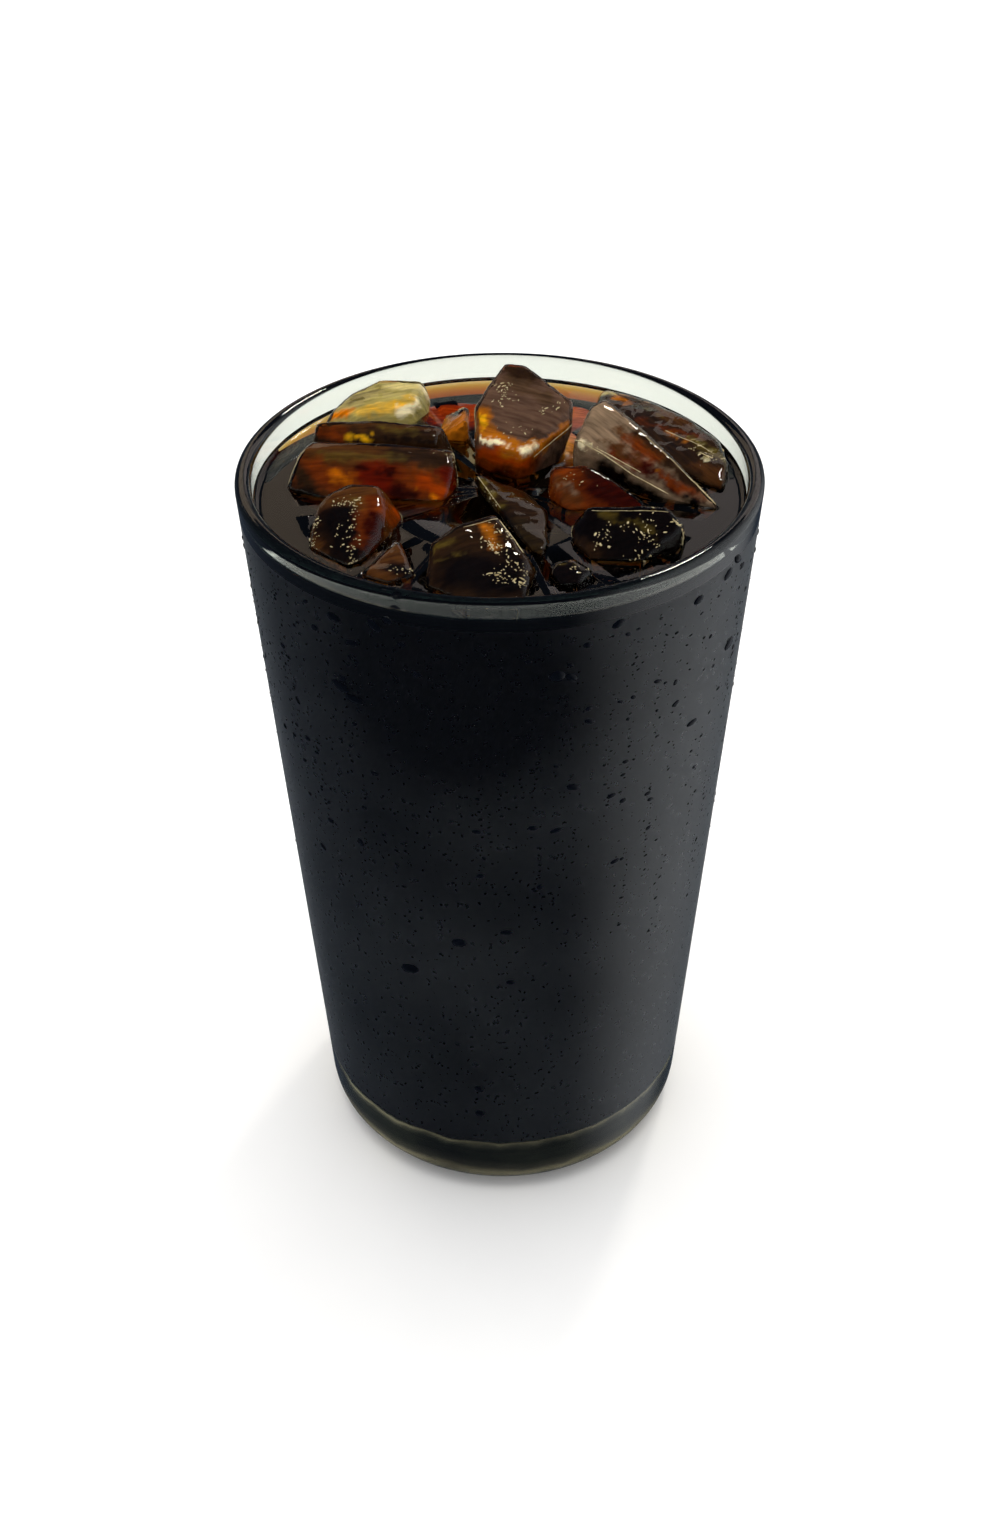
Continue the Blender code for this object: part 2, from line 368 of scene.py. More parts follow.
rim_middle_height = HEIGHT - RIM_BEAD_RADIUS
rim_middle = (cone_radius(RIM_BEAD_RADIUS, rim_middle_height), rim_middle_height)
heel = floor_corner(0.0, 0.0, HEEL_RADIUS)
tumbler_profile = [(POLE_RADIUS, BASE_THICKNESS)]
tumbler_profile += reversed(floor_corner(WALL, BASE_THICKNESS, INNER_CORNER_RADIUS))
inner_heights = [share * HEIGHT for share in (0.25, 0.5, 0.75, 0.93)]
tumbler_profile += [(cone_radius(WALL, height), height) for height in inner_heights]
tumbler_profile += arc(rim_middle, RIM_BEAD_RADIUS, math.pi - WALL_TILT, -WALL_TILT, RIM_STEPS)
outer_heights = [FOG_TOP] + [share * HEIGHT for share in (0.9, 0.75, 0.5, 0.25)] + [FOG_BOTTOM]
tumbler_profile += [(cone_radius(0.0, height), height) for height in outer_heights]
tumbler_profile += heel
tumbler_profile += [
    (heel[-1][0] - STANDING_RING_WIDTH, 0.0),
    (PUNT_RADIUS, PUNT_EDGE_DEPTH),
    (0.5 * PUNT_RADIUS, 0.5 * (PUNT_EDGE_DEPTH + PUNT_DEPTH)),
    (POLE_RADIUS, PUNT_DEPTH),
]
tumbler = turned("tumbler", tumbler_profile)
tumbler.data.materials.append(clear_glass())
tumbler.data.materials.append(fogged_glass())
tumbler.data.materials.append(worn_foot())
tumbler.data.materials.append(paint_heel_light())
for face in tumbler.data.polygons:
    middle = face.center
    outside = face.normal.x * middle.x + face.normal.y * middle.y > 0
    if outside and FOG_BOTTOM < middle.z < FOG_TOP:
        face.material_index = 1
    if outside and middle.z < FOG_BOTTOM:
        face.material_index = 3
    if face.normal.z < -0.9 and middle.z < PUNT_DEPTH:
        face.material_index = 2
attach(tumbler, DRINK_BODY)
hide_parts("glass")


# The ice: clear machine ice, a few minutes old, so every corner has melted round and the tops are wet.
# Each piece keeps the form of its solid, with the hollows and ripples that melting leaves.
ICE_NAMES = sorted(name for name in frame["nodes"] if name.startswith("ice_"))
ICE_VOXEL = 0.45 * MM
MERGE_DISTANCE = 0.01 * MM


def copy_of_node(node_name, new_name):
    """A merged copy of a solid, free of the frame."""
    bpy.ops.object.select_all(action="DESELECT")
    piece = frame["nodes"][node_name].copy()
    piece.data = piece.data.copy()
    piece.name = new_name
    piece.data.name = new_name
    piece.parent = None
    for key in list(piece.keys()):
        del piece[key]
    bpy.context.scene.collection.objects.link(piece)
    piece.hide_render = False
    piece.hide_viewport = False
    piece.select_set(True)
    bpy.context.view_layer.objects.active = piece
    bpy.ops.object.mode_set(mode="EDIT")
    bpy.ops.mesh.select_all(action="SELECT")
    bpy.ops.mesh.remove_doubles(threshold=MERGE_DISTANCE)
    bpy.ops.object.mode_set(mode="OBJECT")
    return piece


def apply_modifier(piece, kind, **settings):
    """Add a modifier with its settings and apply it."""
    bpy.ops.object.select_all(action="DESELECT")
    piece.select_set(True)
    bpy.context.view_layer.objects.active = piece
    modifier = piece.modifiers.new(kind.lower(), kind)
    for key, value in settings.items():
        setattr(modifier, key, value)
    bpy.ops.object.modifier_apply(modifier=modifier.name)


def relief(name, kind, size):
    """A texture whose lumps are about this size, for melting marks."""
    texture = bpy.data.textures.new(name, kind)
    texture.noise_scale = size
    return texture


melt_hollows = relief("melt_hollows", "CLOUDS", 6.0 * MM)
melt_ripples = relief("melt_ripples", "CLOUDS", 1.6 * MM)


def clear_ice():
    """Wet clear ice: all light goes through, bent by the ripples of the melting surface."""
    material, tree, output = finish_named("clear_wet_ice")
    place = add_node(tree, "ShaderNodeTexCoord").outputs["Object"]
    ripples = add_node(tree, "ShaderNodeTexNoise", {"Vector": place, "Scale": 1 / (3 * MM), "Detail": 1.0})
    bump = add_node(
        tree, "ShaderNodeBump", {"Height": ripples.outputs["Fac"], "Strength": 0.25, "Distance": 0.3 * MM}
    )
    shader = add_node(
        tree,
        "ShaderNodeBsdfPrincipled",
        {
            "Base Color": linear("FBFAF6"),
            "Roughness": 0.02,
            "IOR": 1.31,
            "Transmission Weight": 1.0,
            "Normal": bump.outputs["Normal"],
        },
    )
    tree.links.new(shader.outputs[0], output.inputs["Surface"])
    return material


wet_ice = clear_ice()
for ice_name in ICE_NAMES:
    ice = copy_of_node(ice_name, ice_name.replace("ice_", "melting_"))
    apply_modifier(ice, "REMESH", mode="VOXEL", voxel_size=ICE_VOXEL)
    apply_modifier(ice, "SMOOTH", factor=0.5, iterations=4)
    apply_modifier(ice, "DISPLACE", texture=melt_hollows, strength=0.7 * MM, mid_level=0.5)
    apply_modifier(ice, "DISPLACE", texture=melt_ripples, strength=0.12 * MM, mid_level=0.5)
    apply_modifier(ice, "SMOOTH", factor=0.5, iterations=2)
    ice.data.shade_smooth()
    ice.data.materials.clear()
    ice.data.materials.append(wet_ice)
    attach(ice, DRINK_BODY)
    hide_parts(ice_name)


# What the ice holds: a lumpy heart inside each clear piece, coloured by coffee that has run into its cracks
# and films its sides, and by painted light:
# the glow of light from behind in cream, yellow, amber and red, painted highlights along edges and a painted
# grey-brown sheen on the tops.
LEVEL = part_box("coffee")[1].z
HEART_DEPTH = 0.6 * MM
# Colours of coffee stain and of painted light: the pale and bright ones paint glow and highlights, the
# grey-browns paint the sheen of the tops.
HEART_COLOURS = {
    "cream": "FFF2C8",
    "pale_olive": "A89A58",
    "yellow": "FFBC10",
    "amber": "D87400",
    "orange": "A23A00",
    "red": "5E1200",
    "dark_red": "2E0600",
    "brown": "4C2C10",
    "taupe": "86705A",
    "grey_brown": "48341E",
    "purple_grey": "5E4638",
    "olive": "564718",
    "olive_dark": "22190A",
    "dark": "0A0504",
    "honey": "B06410",
    "rust": "6C2C06",
    "umber": "2A1A0C",
    "khaki": "C8B878",
}
# Each stroke of stain or painted light runs between two places, in mm from the axis and above the coffee,
# with its reach and strength.
STAIN_AND_LIGHT_STROKES = {
    "ice_back_left": [
        ("pale_olive", (-26.1, 23.0, 3.1), (-17.1, 29.9, 4.2), 4.5, 1),
        ("khaki", (-18.4, 29.8, 4.2), (-13.0, 30.1, 3.3), 2, 1),
        ("olive", (-25.4, 25.4, 3.4), (-20.8, 29.1, 4.2), 1.2, 0.7),
        ("amber", (-28.7, 23.0, 2.0), (-25.2, 21.9, 3.2), 1.2, 1),
        ("yellow", (-23.5, 21.1, 3.6), (-21.5, 22.4, 3.7), 1.4, 0.4),
        ("yellow", (-21.1, 22.0, 3.6), (-17.2, 23.9, 3.7), 1.6, 0.5),
        ("yellow", (-17.2, 23.9, 3.7), (-14.2, 26.3, 3.6), 1.2, 0.4),
        ("cream", (-13.0, 30.5, 3.5), (-11.8, 30.7, 0.7), 1.2, 1),
        ("cream", (-16.5, 22.8, 2.4), (-13.5, 25.9, 2.7), 1.2, 1),
    ],
    "ice_slab_back": [
        ("umber", (-29.8, 13.4, 5.0), (-8.9, 12.0, 4.5), 4, 1),
        ("brown", (-29.3, 14.5, 4.6), (-9.8, 12.0, 5.1), 1.6, 0.7),
        ("olive", (-19.6, 12.6, 5.3), (-13.0, 10.7, 5.1), 1.2, 0.7),
        ("dark", (-20.5, 10.2, 4.1), (-11.3, 8.3, 4.5), 0.9, 0.8),
        ("rust", (-29.8, 12.5, 3.9), (-26.2, 11.6, 4.0), 1.6, 1),
        ("yellow", (-24.8, 11.3, 4.0), (-21.5, 10.4, 4.0), 1, 0.7),
    ],
    "ice_slab_front": [
        ("brown", (-32.0, 5.3, 4.3), (-7.2, 3.3, 3.8), 4.5, 1),
        ("umber", (-16.0, 3.7, 4.7), (-7.1, 2.3, 3.6), 3, 1),
        ("olive", (-28.8, 3.8, 4.8), (-15.9, 2.6, 4.6), 1.4, 0.5),
        ("rust", (-32.0, 2.0, 2.6), (-24.6, -1.1, 2.0), 3, 1),
        ("umber", (-32.7, 2.2, 2.5), (-29.9, -1.7, 0.6), 2, 1),
        ("dark", (-34.1, 0.8, -0.7), (-30.3, -1.7, -0.7), 1.4, 1),
        ("amber", (-26.4, 0.2, 2.8), (-23.5, -0.9, 2.3), 1.4, 0.6),
        ("yellow", (-25.1, 0.3, 3.0), (-23.8, -0.5, 2.6), 0.8, 0.35),
        ("red", (-20.3, -0.5, 3.1), (-15.8, -2.2, 2.2), 3.4, 1),
        ("dark_red", (-22.9, 0.6, 3.6), (-15.8, -0.7, 3.7), 1, 1),
        ("rust", (-14.2, -1.8, 2.7), (-8.5, -3.5, 0.7), 3.2, 1),
        ("orange", (-12.0, -2.2, 2.5), (-9.5, -2.9, 1.4), 1.6, 0.8),
        ("amber", (-15.2, -1.6, 2.9), (-13.3, -2.7, 1.7), 0.6, 0.8),
        ("amber", (-12.3, -3.7, 0.5), (-8.5, -3.9, 0.2), 0.7, 0.9),
        ("red", (-8.2, -0.3, 2.9), (-7.2, -0.4, 0.8), 1.8, 1),
        ("dark_red", (-16.5, -2.9, 1.2), (-14.6, -3.6, 0.5), 1.8, 1),
    ],
    "ice_front_left": [
        ("brown", (-23.6, -6.9, 4.5), (-18.9, -6.5, 4.3), 2.2, 1),
        ("dark", (-24.4, -14.8, 3.8), (-22.3, -20.5, 1.9), 4, 1),
        ("dark", (-26.7, -14.9, 3.0), (-23.2, -23.2, 0.8), 3, 0.8),
        ("olive", (-23.0, -11.0, 4.6), (-21.1, -12.4, 4.3), 1.2, 0.6),
        ("rust", (-19.7, -11.3, 4.4), (-20.3, -19.2, 1.9), 2.2, 0.8),
        ("dark_red", (-18.2, -10.8, 4.1), (-19.1, -19.1, 1.0), 2.4, 1),
        ("rust", (-18.4, -11.0, 4.2), (-15.8, -11.2, 0.8), 2.4, 1),
        ("orange", (-16.1, -9.7, 1.7), (-15.3, -10.1, 0.3), 0.9, 0.8),
    ],
    "ice_chip_left": [
        ("brown", (-15.4, -17.7, 0.9), (-19.2, -23.3, 0.5), 1.4, 1),
        ("dark", (-16.4, -24.9, 1.0), (-13.1, -26.5, 0.7), 2, 1),
    ],
    "ice_front_centre": [
        ("umber", (-9.0, -22.6, 3.8), (-3.0, -19.8, 4.7), 5, 1),
        ("dark", (-5.9, -28.4, 2.5), (0.7, -30.4, 1.9), 4.5, 1),
        ("olive", (-10.5, -23.2, 2.5), (-7.5, -22.8, 4.0), 0.9, 0.8),
        ("olive", (-9.5, -26.0, 2.4), (-5.6, -24.7, 3.7), 0.7, 0.7),
        ("honey", (-2.0, -19.4, 4.7), (-0.6, -23.6, 3.7), 1.5, 1),
        ("yellow", (-1.2, -21.5, 4.2), (-0.5, -23.2, 3.8), 0.6, 0.7),
        ("dark", (-0.0, -22.7, 3.8), (2.9, -26.5, 2.7), 1.6, 0.9),
    ],
    "ice_middle": [
        ("umber", (2.3, -11.2, 1.5), (5.3, -20.3, 0.6), 4, 1),
        ("olive", (-3.6, 0.4, 2.2), (0.0, -8.8, 1.4), 1, 1),
        ("olive_dark", (3.1, -12.5, 1.4), (5.7, -19.3, 0.9), 2.4, 0.8),
        ("dark", (0.0, -9.3, 0.5), (1.8, -13.7, -0.5), 1.4, 0.9),
    ],
    "ice_cube": [
        ("purple_grey", (0.1, 13.9, 8.8), (9.8, 9.6, 7.3), 8, 1),
        ("umber", (1.5, 21.5, 11.2), (5.5, 19.3, 10.8), 2.4, 1),
        ("grey_brown", (1.8, 18.3, 10.2), (7.5, 14.3, 9.4), 2, 0.6),
        ("dark", (4.9, 6.7, 6.1), (9.0, 7.5, 4.8), 1.2, 0.6),
        ("rust", (-3.5, 7.6, 0.8), (4.9, 4.2, 1.5), 3, 1),
        ("dark_red", (-3.6, 8.0, -1.6), (1.7, 3.3, 0.2), 1.4, 1),
        ("honey", (-3.1, 12.3, 7.8), (-2.2, 8.1, 6.0), 1.8, 1),
        ("honey", (-2.2, 8.1, 6.0), (2.7, 5.6, 5.4), 1.2, 1),
        ("orange", (-2.8, 6.6, 2.8), (4.9, 4.1, 3.3), 1.6, 1),
        ("honey", (0.9, 4.8, 4.1), (7.4, 6.1, 3.9), 1.5, 1),
        ("honey", (7.4, 6.1, 4.4), (11.8, 10.0, 6.3), 1, 0.9),
        ("yellow", (-3.1, 11.2, 7.3), (-2.5, 9.2, 6.5), 0.8, 0.8),
        ("cream", (-3.8, 8.7, 5.0), (0.1, 5.7, 5.0), 0.55, 1),
        ("cream", (-0.2, 5.9, 5.1), (2.6, 4.3, 4.7), 0.8, 1),
        ("cream", (2.3, 4.5, 4.8), (6.2, 5.2, 4.5), 0.8, 1),
    ],
    "ice_wedge": [
        ("taupe", (16.3, 10.9, 8.7), (18.6, 7.4, 7.4), 4.5, 1),
        ("taupe", (14.2, 6.6, 7.3), (17.0, 3.1, 5.9), 3.2, 1),
        ("umber", (22.6, 6.1, 6.8), (31.7, -3.1, 2.2), 2.2, 1),
        ("brown", (19.7, 6.4, 7.0), (25.5, 1.0, 4.8), 1.6, 0.9),
        ("rust", (20.6, 5.2, 6.6), (24.3, 1.0, 4.8), 1.6, 1),
        ("red", (18.6, 2.4, 5.5), (23.1, -0.3, 4.1), 1.6, 1),
        ("dark_red", (22.3, 0.0, 4.3), (28.5, -3.6, 2.3), 1.6, 1),
        ("brown", (17.1, 4.2, 6.4), (21.4, 1.0, 4.8), 1.4, 1),
        ("honey", (24.2, -0.3, 4.1), (26.6, -2.0, 3.2), 0.7, 0.8),
        ("rust", (26.0, -1.6, 3.4), (31.5, -5.6, 1.2), 1.2, 1),
        ("dark", (30.0, -5.4, 1.1), (33.3, -7.1, 0.2), 1.4, 1),
        ("cream", (12.1, 4.9, 6.0), (15.4, 2.8, 5.7), 0.7, 0.7),
        ("dark", (16.1, 1.7, 2.3), (23.9, -2.7, -0.7), 2, 1),
    ],
    "ice_lump": [
        ("rust", (8.8, -1.7, 3.3), (14.2, -4.7, 2.3), 4, 1),
        ("brown", (9.5, -2.9, 3.1), (11.8, -6.2, 1.3), 1.8, 0.7),
        ("taupe", (9.8, -3.5, 2.7), (11.4, -4.6, 2.2), 1, 0.5),
        ("dark", (14.3, -0.7, 4.0), (16.5, -2.4, 3.1), 2, 0.9),
        ("dark_red", (15.2, -4.0, 2.6), (22.0, -5.9, 1.1), 3.2, 1),
    ],
    "ice_back_right": [
        ("umber", (21.5, 24.5, 1.6), (33.1, 12.4, 2.1), 5, 1),
        ("rust", (23.8, 20.6, 1.7), (33.2, 13.8, 2.1), 1.2, 0.6),
        ("brown", (25.9, 27.0, 1.9), (32.3, 19.4, 2.2), 1.6, 0.9),
        ("honey", (19.6, 30.7, 1.6), (22.1, 27.4, 1.7), 1, 1),
        ("khaki", (18.0, 33.1, 1.0), (20.3, 31.4, 1.7), 1.1, 1),
        ("brown", (27.3, 23.0, 2.0), (32.0, 18.1, 2.1), 1.6, 0.8),
        ("olive", (24.1, 26.4, 1.8), (30.4, 19.0, 2.1), 0.8, 0.8),
        ("honey", (27.5, 17.2, 1.9), (31.5, 12.6, 2.0), 0.8, 0.9),
        ("olive", (31.6, 14.0, 2.0), (37.5, 6.0, 1.2), 1.2, 0.9),
        ("khaki", (30.7, 14.8, 2.0), (35.1, 9.1, 1.9), 0.6, 0.9),
        ("brown", (32.5, 5.7, 1.6), (36.3, 0.0, 0.7), 1.8, 0.8),
        ("khaki", (32.5, 9.4, 1.8), (34.9, 6.7, 1.8), 0.7, 1),
        ("cream", (33.4, 7.8, 1.7), (34.6, 6.7, 1.7), 0.5, 1),
    ],
    "ice_front_right": [
        ("dark", (13.6, -16.9, 3.8), (25.6, -20.1, 1.2), 5, 1),
        ("umber", (11.0, -17.5, -0.4), (15.0, -22.2, 0.7), 2, 0.9),
        ("dark", (16.5, -21.8, 1.1), (24.1, -21.3, 0.7), 2, 0.8),
        ("olive", (15.2, -15.8, 4.6), (18.9, -17.2, 4.0), 1.2, 0.6),
        ("olive", (21.2, -17.2, 3.9), (24.1, -19.6, 2.7), 1, 0.5),
    ],
    "ice_chip_right": [
        ("dark", (8.1, -27.5, 0.6), (13.2, -26.2, 0.8), 3, 1),
        ("olive", (8.6, -24.8, 1.3), (11.0, -24.4, 1.5), 0.8, 0.6),
    ],
    "ice_sliver": [
        ("honey", (-9.5, 24.2, 0.4), (-8.4, 24.3, 1.2), 1.4, 1),
        ("dark", (-6.4, 22.8, 3.0), (-5.1, 23.3, -0.4), 2.5, 1),
    ],
}
# Which way the grain runs, in degrees, and how much coarser the grain's pattern is along it and upwards.
GRAIN_TURNS = {
    "ice_slab_back": -4, "ice_slab_front": -5, "ice_cube": -24, "ice_wedge": -45, "ice_back_right": -60,
}
OTHER_GRAIN_TURN = 20
GRAIN_ALONG = 0.12
GRAIN_UPWARDS = 0.6
# How the edges of the strokes of stain and painted light wander, in lumps per mm and mm, and how far they
# reach and fade out.
STROKE_SEED = 1795851831
COARSE_WANDER = (0.55, 0.9)
FINE_WANDER = (1.7, 0.45)
STROKE_REACH = 1.15
STROKE_FADE = 1.6
# From this height above the coffee, in mm, the strokes give way to a pale cream under water, all over this
# depth: a painted glow that the coffee over it turns amber.
DROWNED_TOP = -0.4
DROWNED_DEPTH = 1.2


def paint_stain_and_light(mesh, strokes, turn):
    """Write the colour of each point, coffee stain and painted light together, and its place along and across
    the grain of the ice.
    """
    colours = mesh.color_attributes.new("stain", "FLOAT_COLOR", "POINT")
    grain = mesh.attributes.new("grain", "FLOAT_VECTOR", "POINT")
    along = Vector((math.cos(turn), math.sin(turn), 0.0))
    across = Vector((-math.sin(turn), math.cos(turn), 0.0))
    # Painted glow: under water the heart turns this pale cream, which the coffee over it turns amber.
    sunk = Vector(linear("E8D2A0")[:3])
    first = Vector(linear(HEART_COLOURS[strokes[0][0]])[:3])
    for vertex in mesh.vertices:
        place = vertex.co / MM - Vector((0.0, 0.0, LEVEL / MM))
        point = place.copy()
        for lumps_per_mm, distance in (COARSE_WANDER, FINE_WANDER):
            point += noise.noise_vector(place * lumps_per_mm) * distance
        colour = first.copy()
        for name, start, end, reach, strength in strokes:
            start, end = Vector(start), Vector(end)
            line = end - start
            share = max(0.0, min(1.0, (point - start).dot(line) / max(line.length_squared, 1e-9)))
            gap = (point - start - line * share).length / reach
            weight = max(0.0, min(1.0, STROKE_FADE * (STROKE_REACH - gap))) * strength
            colour = colour.lerp(Vector(linear(HEART_COLOURS[name])[:3]), weight)
        drowned = max(0.0, min(1.0, (DROWNED_TOP - place.z) / DROWNED_DEPTH))
        colour = colour.lerp(sunk, drowned)
        colours.data[vertex.index].color = (*colour, 1.0)
        grain.data[vertex.index].vector = (
            vertex.co.dot(along) * GRAIN_ALONG, vertex.co.dot(across), vertex.co.z * GRAIN_UPWARDS
        )


def stain_and_light_finish():
    """Coffee-stained ice with painted light in its colour: cracks and lines of air run along its grain and
    change its colour a little.
    """
    material, tree, output = finish_named("coffee_stained_ice")
    stain = add_node(tree, "ShaderNodeAttribute", attribute_name="stain").outputs["Color"]
    grain = add_node(tree, "ShaderNodeAttribute", attribute_name="grain").outputs["Vector"]
    lines = add_node(tree, "ShaderNodeTexNoise", {"Vector": grain, "Scale": 1 / (0.7 * MM), "Detail": 4.0})
    shade = add_node(
        tree,
        "ShaderNodeMapRange",
        {"Value": lines.outputs["Fac"], "From Min": 0.3, "From Max": 0.7, "To Min": 0.55, "To Max": 1.35},
    )
    lined = add_node(
        tree, "ShaderNodeVectorMath", {0: stain, "Scale": shade.outputs["Result"]}, operation="SCALE"
    )
    bump = add_node(
        tree, "ShaderNodeBump", {"Height": lines.outputs["Fac"], "Strength": 0.5, "Distance": 0.3 * MM}
    )
    shader = add_node(
        tree,
        "ShaderNodeBsdfPrincipled",
        {
            "Base Color": lined.outputs["Vector"],
            "Roughness": 0.35,
            "IOR": 1.31,
            "Specular IOR Level": 0.0,
            "Normal": bump.outputs["Normal"],
        },
    )
    tree.links.new(shader.outputs[0], output.inputs["Surface"])
    return material


heart_finish = stain_and_light_finish()
noise.seed_set(STROKE_SEED)
for ice_name in ICE_NAMES:
    heart = copy_of_node(ice_name, ice_name.replace("ice_", "heart_stain_and_light_"))
    apply_modifier(heart, "REMESH", mode="VOXEL", voxel_size=ICE_VOXEL)
    apply_modifier(heart, "SMOOTH", factor=0.5, iterations=4)
    apply_modifier(heart, "DISPLACE", strength=-HEART_DEPTH, mid_level=0.0)
    apply_modifier(heart, "DISPLACE", texture=melt_ripples, strength=0.5 * MM, mid_level=0.7)
    heart.data.shade_smooth()
    paint_stain_and_light(heart.data, STAIN_AND_LIGHT_STROKES[ice_name], math.radians(GRAIN_TURNS.get(ice_name, OTHER_GRAIN_TURN)))
    heart.data.materials.clear()
    heart.data.materials.append(heart_finish)
    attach(heart, DRINK_BODY)


# The glints: beads of melt water and trapped air roughen the wettest edges and faces of the ice, and their
# pale cream colour is a painted highlight.
# Each is a bead 0.1 to 0.5 mm long sitting in the surface, and together they sparkle like crushed glass.
# Each patch runs between two places, in mm from the axis and above the coffee, with its reach and count.
# A reach of less than LINE_REACH is half the width of one unbroken line of melt water along an edge, painted
# as a highlight line.
LINE_REACH = 0.2
BEAD_RADIUS = 0.048 * MM
GLINTS = {
    "ice_back_left": [
        ((-18.4, 29.8, 4.2), (-13.6, 28.1, 3.5), 1.2, 6),
    ],
    "ice_back_right": [
        ((18.7, 32.6, 1.6), (20.3, 30.6, 1.7), 0.9, 8),
        ((32.0, 10.4, 1.8), (34.9, 6.4, 1.7), 1.2, 16),
        ((36.2, 7.1, 1.9), (36.6, 6.0, 1.8), 0.5, 4),
        ((27.8, 16.5, 1.9), (34.7, 8.5, 1.9), 0.08, 34),
        ((32.8, 8.4, 1.8), (34.6, 6.7, 1.7), 0.12, 10),
    ],
    "ice_chip_left": [
        ((-16.4, -25.4, 0.9), (-12.8, -26.7, 0.4), 1.2, 9),
    ],
    "ice_chip_right": [
        ((9.6, -25.9, 1.2), (13.0, -26.5, 0.8), 1.2, 6),
    ],
    "ice_cube": [
        ((-0.5, 17.6, 9.9), (1.9, 14.2, 9.0), 1.6, 22),
        ((-0.0, 13.3, 8.6), (0.6, 12.8, 8.4), 0.6, 4),
        ((6.6, 10.7, 8.0), (10.2, 11.9, 8.8), 1.2, 9),
        ((0.1, 8.5, 6.5), (5.9, 6.3, 5.9), 1.6, 8),
        ((11.8, 9.9, 6.2), (5.6, 4.7, 3.2), 0.07, 34),
        ((-3.9, 14.0, 7.8), (-4.0, 10.6, 4.7), 0.05, 20),
    ],
    "ice_front_centre": [
        ((-2.4, -22.6, 4.1), (0.6, -26.4, 2.9), 1.2, 26),
        ((-0.9, -29.7, 2.2), (3.7, -31.2, 1.0), 1.3, 24),
        ((-0.3, -19.2, 4.5), (2.1, -22.1, 3.5), 1.2, 14),
        ((1.1, -26.8, 2.8), (4.1, -28.3, 1.6), 1, 10),
        ((-5.4, -20.6, 4.9), (-0.4, -17.8, 4.8), 0.06, 20),
        ((0.0, -17.9, 4.5), (3.5, -24.3, 2.7), 0.09, 26),
    ],
    "ice_front_left": [
        ((-25.7, -12.8, 4.1), (-21.2, -11.2, 4.5), 1, 17),
        ((-27.8, -14.4, 2.7), (-28.6, -18.9, 0.4), 0.9, 16),
        ((-22.3, -13.0, 4.3), (-22.2, -22.7, 0.9), 0.9, 17),
        ((-25.0, -15.5, 3.3), (-24.1, -20.3, 1.7), 1.8, 8),
        ((-22.6, -23.6, 0.6), (-21.8, -22.9, 0.7), 0.5, 5),
        ((-15.6, -9.4, 1.0), (-15.3, -10.1, -0.5), 0.06, 8),
    ],
    "ice_front_right": [
        ((15.0, -21.2, 1.4), (16.9, -17.8, 3.6), 1.6, 16),
        ((20.9, -16.9, 4.1), (23.4, -21.0, 1.8), 2.2, 22),
        ((26.4, -17.0, 3.8), (27.8, -18.0, -0.0), 0.6, 16),
        ((18.0, -22.7, 0.2), (23.3, -21.9, 0.4), 1.2, 8),
        ((10.9, -15.2, 0.8), (10.9, -15.2, 0.8), 0.6, 8),
        ((14.0, -15.5, 4.7), (25.5, -15.9, 4.5), 0.05, 34),
        ((26.2, -16.9, 3.9), (27.8, -18.0, -0.0), 0.13, 22),
        ((11.1, -14.7, 1.6), (10.9, -15.2, 0.8), 0.08, 14),
    ],
    "ice_lump": [
        ((10.4, -1.0, 3.8), (14.2, -3.8, 2.8), 1.6, 5),
    ],
    "ice_middle": [
        ((-3.8, 0.0, 2.0), (-0.6, -7.9, 1.3), 0.6, 8),
        ((-3.6, 0.4, 2.2), (0.0, -8.6, 1.5), 0.06, 26),
    ],
    "ice_slab_back": [
        ((-30.0, 13.2, 4.8), (-30.5, 13.6, 3.8), 0.06, 10),
    ],
    "ice_slab_front": [
        ((-7.2, 3.9, 3.9), (-6.5, 1.2, 0.4), 1, 18),
        ((-9.6, 4.0, 4.6), (-7.3, 5.4, 3.2), 1.6, 6),
        ((-31.3, 4.8, 4.9), (-32.0, 4.3, 4.3), 0.07, 14),
        ((-32.0, 4.3, 4.3), (-34.0, 1.4, 0.4), 0.07, 16),
    ],
    "ice_sliver": [
        ((-8.6, 23.6, 1.6), (-5.8, 22.4, 3.4), 0.9, 6),
    ],
    "ice_wedge": [
        ((12.8, 4.4, 6.6), (15.4, 2.5, 5.5), 0.8, 6),
        ((12.1, 4.9, 6.0), (16.0, 2.2, 5.3), 0.12, 30),
        ((16.0, 2.2, 5.3), (21.3, -1.1, 2.9), 0.12, 34),
        ((21.3, -1.1, 2.9), (26.6, -4.0, 1.1), 0.12, 34),
        ((15.4, 2.9, 5.8), (22.3, -1.2, 3.5), 0.08, 30),
        ((30.1, -2.2, 3.1), (34.0, -6.6, 0.7), 0.14, 30),
        ((22.6, 6.1, 6.8), (30.1, -2.2, 3.1), 0.06, 34),
        ((15.5, 2.2, 1.4), (24.0, -2.6, -1.9), 0.07, 34),
    ],
}


def mottled(tree, size, detail, dark, light):
    """A colour that wanders between two sRGB tones in patches of about this size."""
    place = add_node(tree, "ShaderNodeTexCoord").outputs["Object"]
    patches = add_node(tree, "ShaderNodeTexNoise", {"Vector": place, "Scale": 1 / size, "Detail": detail})
    tone = add_node(
        tree,
        "ShaderNodeMix",
        {"Factor": patches.outputs["Fac"], "A": linear(dark), "B": linear(light)},
        data_type="RGBA",
    )
    return tone.outputs["Result"]


